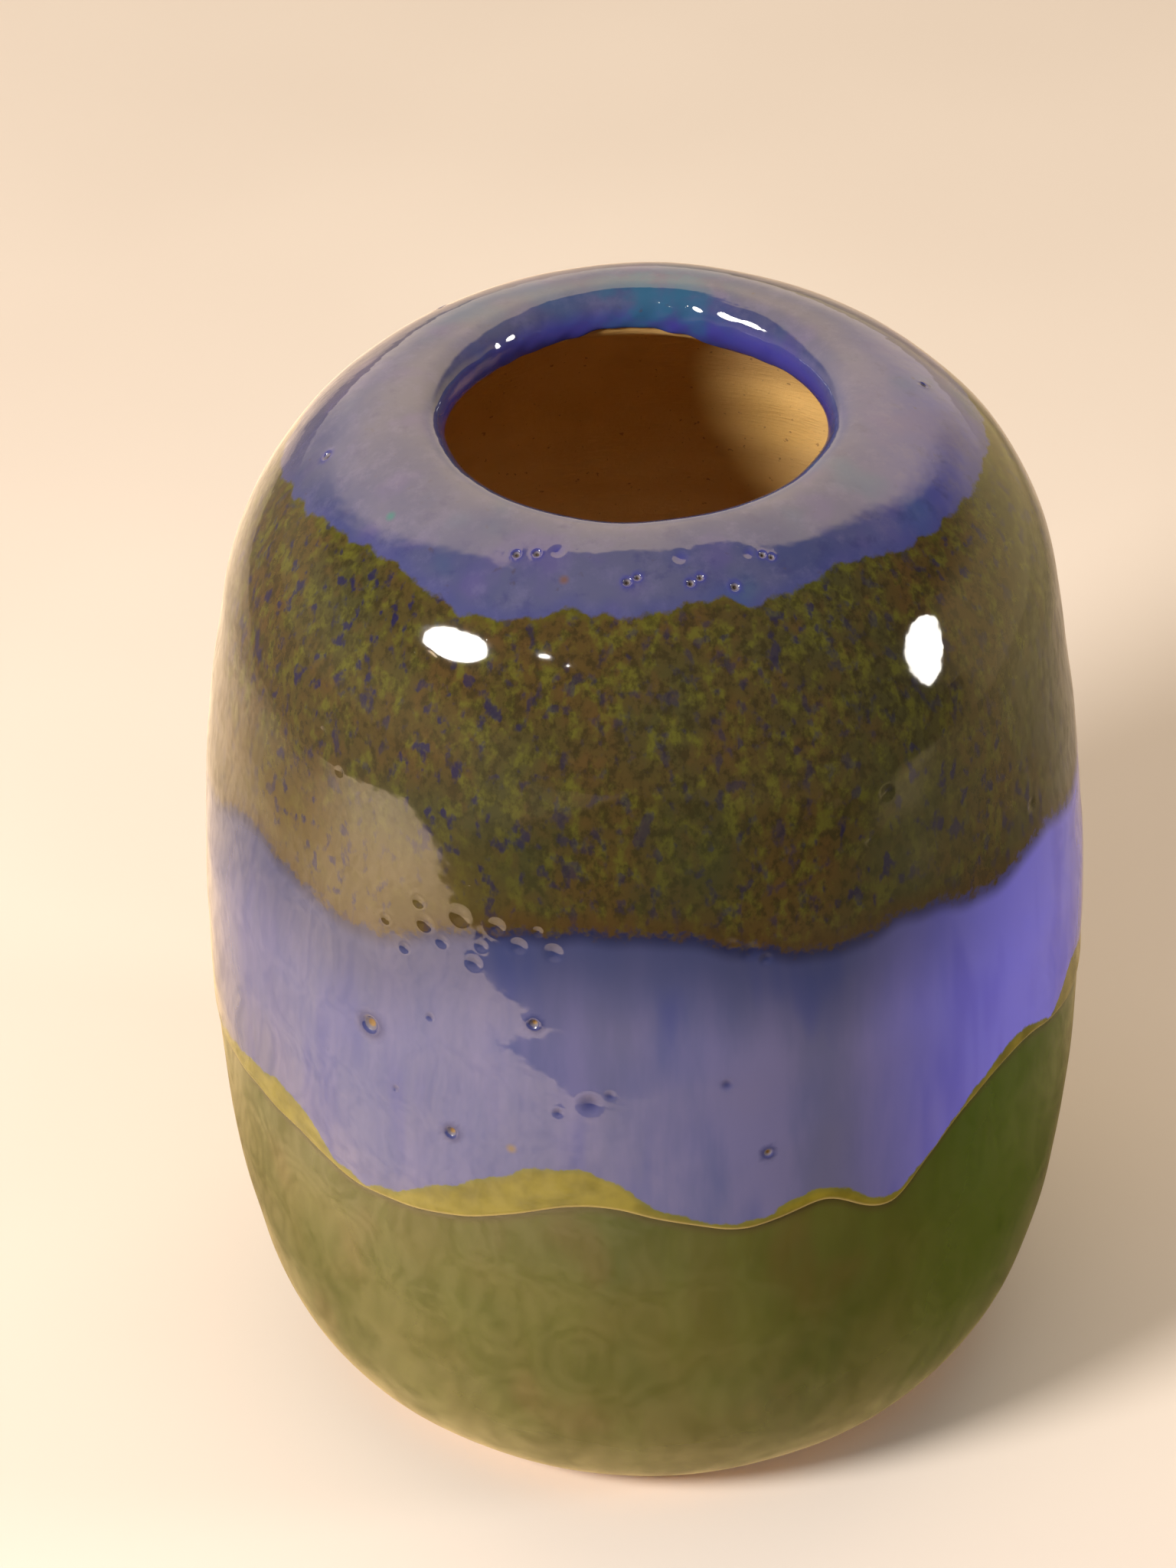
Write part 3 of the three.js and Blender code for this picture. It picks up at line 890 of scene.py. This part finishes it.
def make_reflected_cloth():
    """The table as the glaze shows it: brightest at the front left, dim at the right and behind,
    with a faint glow past its left and right edges. Only reflections see this card."""
    finish = Finish("reflected_cloth", Roughness=1.0, Specular_IOR_Level=0.0)
    finish.shader.inputs["Base Color"].default_value = (0, 0, 0, 1)
    x, y = finish.across, finish.back
    ramp, times, scaled = finish.ramp, finish.times, finish.scaled
    radius = finish.add("ShaderNodeVectorMath", {0: finish.place}, "Value", operation="LENGTH")

    edge = times(finish.noise(0.035, detail=3, rough=0.65, shift=6), 14)
    x_edge, y_edge = finish.math("ADD", x, edge), finish.math("ADD", y, edge)
    crisp = ramp(y_edge, TABLE_FRONT - 4, TABLE_FRONT)
    soft = ramp(y_edge, TABLE_FRONT - 55, TABLE_FRONT + 45)
    table = times(finish.mix(ramp(x, -50, 30), crisp, soft),
                  ramp(x_edge, TABLE_LEFT - 6, TABLE_LEFT), ramp(x, TABLE_RIGHT, TABLE_RIGHT - 40))

    left = scaled(ramp(y, 18, -35), 1.6, 1.0)
    left = scaled(times(ramp(x, -120, -160), ramp(y, -30, -90)), 1.3, left)
    left = times(left, ramp(x, 60, -80), scaled(ramp(y, 150, 350), -0.75, 1.0))
    left = times(left, scaled(times(ramp(x, -135, -205), ramp(y, -60, 0)), -0.75, 1.0))
    right = scaled(ramp(y, -10, 90), 0.28, 0.24)
    right = scaled(times(ramp(y, 90, 190), ramp(x, 160, 60)), 0.35, right)
    right = scaled(ramp(x, 130, 215), 0.25, right)
    right = scaled(times(ramp(x, 170, 230), ramp(y, -60, -120)), 0.9, right)
    right = scaled(times(ramp(x, 100, 250), ramp(y, 120, 400)), 0.3, right)
    pot_shade = times(scaled(times(ramp(y, -40, -10), ramp(radius, 68, 50)), -0.45, 1.0),
                      ramp(radius, 22, 34))

    rosette = finish.add("ShaderNodeTexVoronoi", {"Vector": finish.stretched(0.06, 1, 3),
                                                  "Scale": 1.0}, "Distance")
    rings = finish.math("SINE", times(rosette, 32))
    holes = ramp(finish.noise(0.15, detail=3, rough=0.7, shift=12), 0.35, 0.6)
    lace = scaled(rings, 0.07, scaled(holes, 0.26, 0.84))
    light = times(finish.math("ADD", left, right), pot_shade, lace)

    left_glow = times(ramp(x, -110, -220), 0.5)
    right_glow = times(ramp(x, 200, TABLE_RIGHT), scaled(ramp(y, -80, 80), 0.85, 0.2))
    off_table = times(finish.math("SUBTRACT", 1.0, table),
                      finish.math("MAXIMUM", left_glow, right_glow))
    strength = scaled(table, light, off_table)
    colour = finish.mix(ramp(x, 60, 200), (1.0, 0.73, 0.49), (1.0, 0.76, 0.38))
    colour = finish.mix(ramp(radius, 100, 50), colour, (1.0, 0.68, 0.31))
    finish.out("Emission Color", colour)
    finish.out("Emission Strength", strength)
    finish.material.cycles.emission_sampling = "NONE"
    card = sheet_mesh("reflected_cloth", CARD_HEIGHT, finish.material)
    card.visible_camera = False
    card.visible_diffuse = False
    card.visible_shadow = False
    card.visible_transmission = False


def sky_direction(azimuth, elevation):
    a, e = np.radians(azimuth), np.radians(elevation)
    return Vector((np.sin(a) * np.cos(e), -np.cos(a) * np.cos(e), np.sin(e)))


def make_light(name, azimuth, elevation, size, radiance, colour, distance=900, glossy=True,
               diffuse=True, shape="ELLIPSE", tilt=0.0):
    """An area light that far from a point high inside the pot, facing it. Azimuth is a turn."""
    light = bpy.data.lights.new(name, "AREA")
    light.shape = shape
    light.size, light.size_y = size[0] * MM, size[1] * MM
    area = light.size * light.size_y * (np.pi / 4 if shape == "ELLIPSE" else 1)
    light.energy = radiance * np.pi * area
    light.color = colour
    lamp = bpy.data.objects.new(name, light)
    towards = sky_direction(azimuth, elevation)
    lamp.location = Vector((0, 0, 0.9 * HEIGHT * MM)) + towards * distance * MM
    spin = Matrix.Rotation(np.radians(tilt), 4, "Z")
    lamp.rotation_euler = (towards.to_track_quat("Z", "Y").to_matrix().to_4x4() @ spin).to_euler()
    lamp.visible_camera = False
    lamp.visible_glossy = glossy
    lamp.visible_diffuse = diffuse
    bpy.context.scene.collection.objects.link(lamp)


def make_lights():
    make_light("key", -52, 32, (170, 170), 81, (1.0, 0.93, 0.84), distance=620,
               glossy=False)
    make_light("top_softbox", 10, 78, (1400, 1400), 1.15, (1.0, 0.95, 0.9), distance=1300,
               glossy=False, shape="RECTANGLE")
    make_light("left_window", -63, 34.3, (340, 225), 55, (1.0, 0.95, 0.88), diffuse=False, tilt=28)
    make_light("right_window", 81.5, 11, (175, 250), 27, (1.0, 0.95, 0.88), tilt=-8)
    make_light("small_lamp", -33.8, 45.1, (34, 22), 85, (1.0, 0.93, 0.85), diffuse=False)
    make_light("second_small_lamp", -24.9, 43.7, (18, 14), 70, (1.0, 0.93, 0.85), diffuse=False)
    make_light("lamp_arm", -66, 25, (60, 12), 17, (1.0, 0.75, 0.5), diffuse=False)


def make_world():
    """A dark warm room with a bright wall behind the pot, half as bright for soft light as for
    reflections, and a pale backdrop for the camera."""
    world = bpy.data.worlds.new("room")
    bpy.context.scene.world = world
    world.use_nodes = True
    room = Nodes(world.node_tree)
    ramp, times, scaled = room.ramp, room.times, room.scaled
    towards = room.add("ShaderNodeTexCoord", {}, "Generated")
    x, y, z = room.split(towards)
    flat = room.math("SQRT", scaled(x, x, times(y, y)))
    backward = room.math("DIVIDE", y, flat)

    bend = room.add("ShaderNodeTexNoise", {"Vector": towards, "Scale": 9.0, "Detail": 3.0}, "Fac")
    wall_side = times(ramp(z, 0.0, 0.75), scaled(ramp(x, -0.2, 0.2), 0.22, -0.5))
    wall_top = ramp(scaled(bend, 0.05, z), 0.955, 0.935)
    wall = times(ramp(room.math("SUBTRACT", backward, wall_side), 0.76, 0.94), wall_top)
    wall_colour = room.mix(ramp(z, 0.2, 0.6), (1.6, 1.27, 0.95), (2.95, 2.2, 1.2))

    low = ramp(z, 0.42, 0.15)
    left = times(low, ramp(x, -0.3, -0.9))
    right = times(low, times(ramp(x, 0.1, 0.4), ramp(backward, -0.2, 0.1)))
    colour = room.mix(left, (0.085, 0.066, 0.057), (0.75, 0.6, 0.35))
    colour = room.mix(right, colour, (1.1, 0.84, 0.41))
    colour = room.mix(wall, colour, wall_colour)

    seen = room.add("ShaderNodeLightPath", {}, "Is Camera Ray")
    reflected = seen.node.outputs["Is Glossy Ray"]
    walls = world.node_tree.nodes["Background"]
    world.node_tree.links.new(colour, walls.inputs["Color"])
    world.node_tree.links.new(scaled(reflected, 0.5, 0.5), walls.inputs["Strength"])
    backdrop = room.add("ShaderNodeBackground", {"Color": (0.82, 0.73, 0.63, 1)})
    shown = room.add("ShaderNodeMixShader", {0: seen, 1: walls.outputs[0], 2: backdrop})
    world.node_tree.links.new(shown, world.node_tree.nodes["World Output"].inputs[0])


def make_camera():
    """Close above the pot and a little to its left, looking down at it, slightly rolled."""
    camera = bpy.data.objects.new("camera", bpy.data.cameras.new("camera"))
    bpy.context.scene.collection.objects.link(camera)
    looking_down, roll = 37.24, -1.52
    eye = Vector((-4.9, -378.5, 346.7))
    camera.data.sensor_width = 36
    camera.data.lens = 121.85
    camera.data.clip_start = 0.01
    camera.location = eye * MM
    tilt = Matrix.Rotation(np.radians(90 - looking_down), 4, "X")
    camera.rotation_euler = (tilt @ Matrix.Rotation(np.radians(roll), 4, "Z")).to_euler()
    bpy.context.scene.camera = camera


make_floor()
make_reflected_cloth()
make_lights()
make_world()
make_camera()
bpy.context.scene.view_settings.view_transform = "Standard"
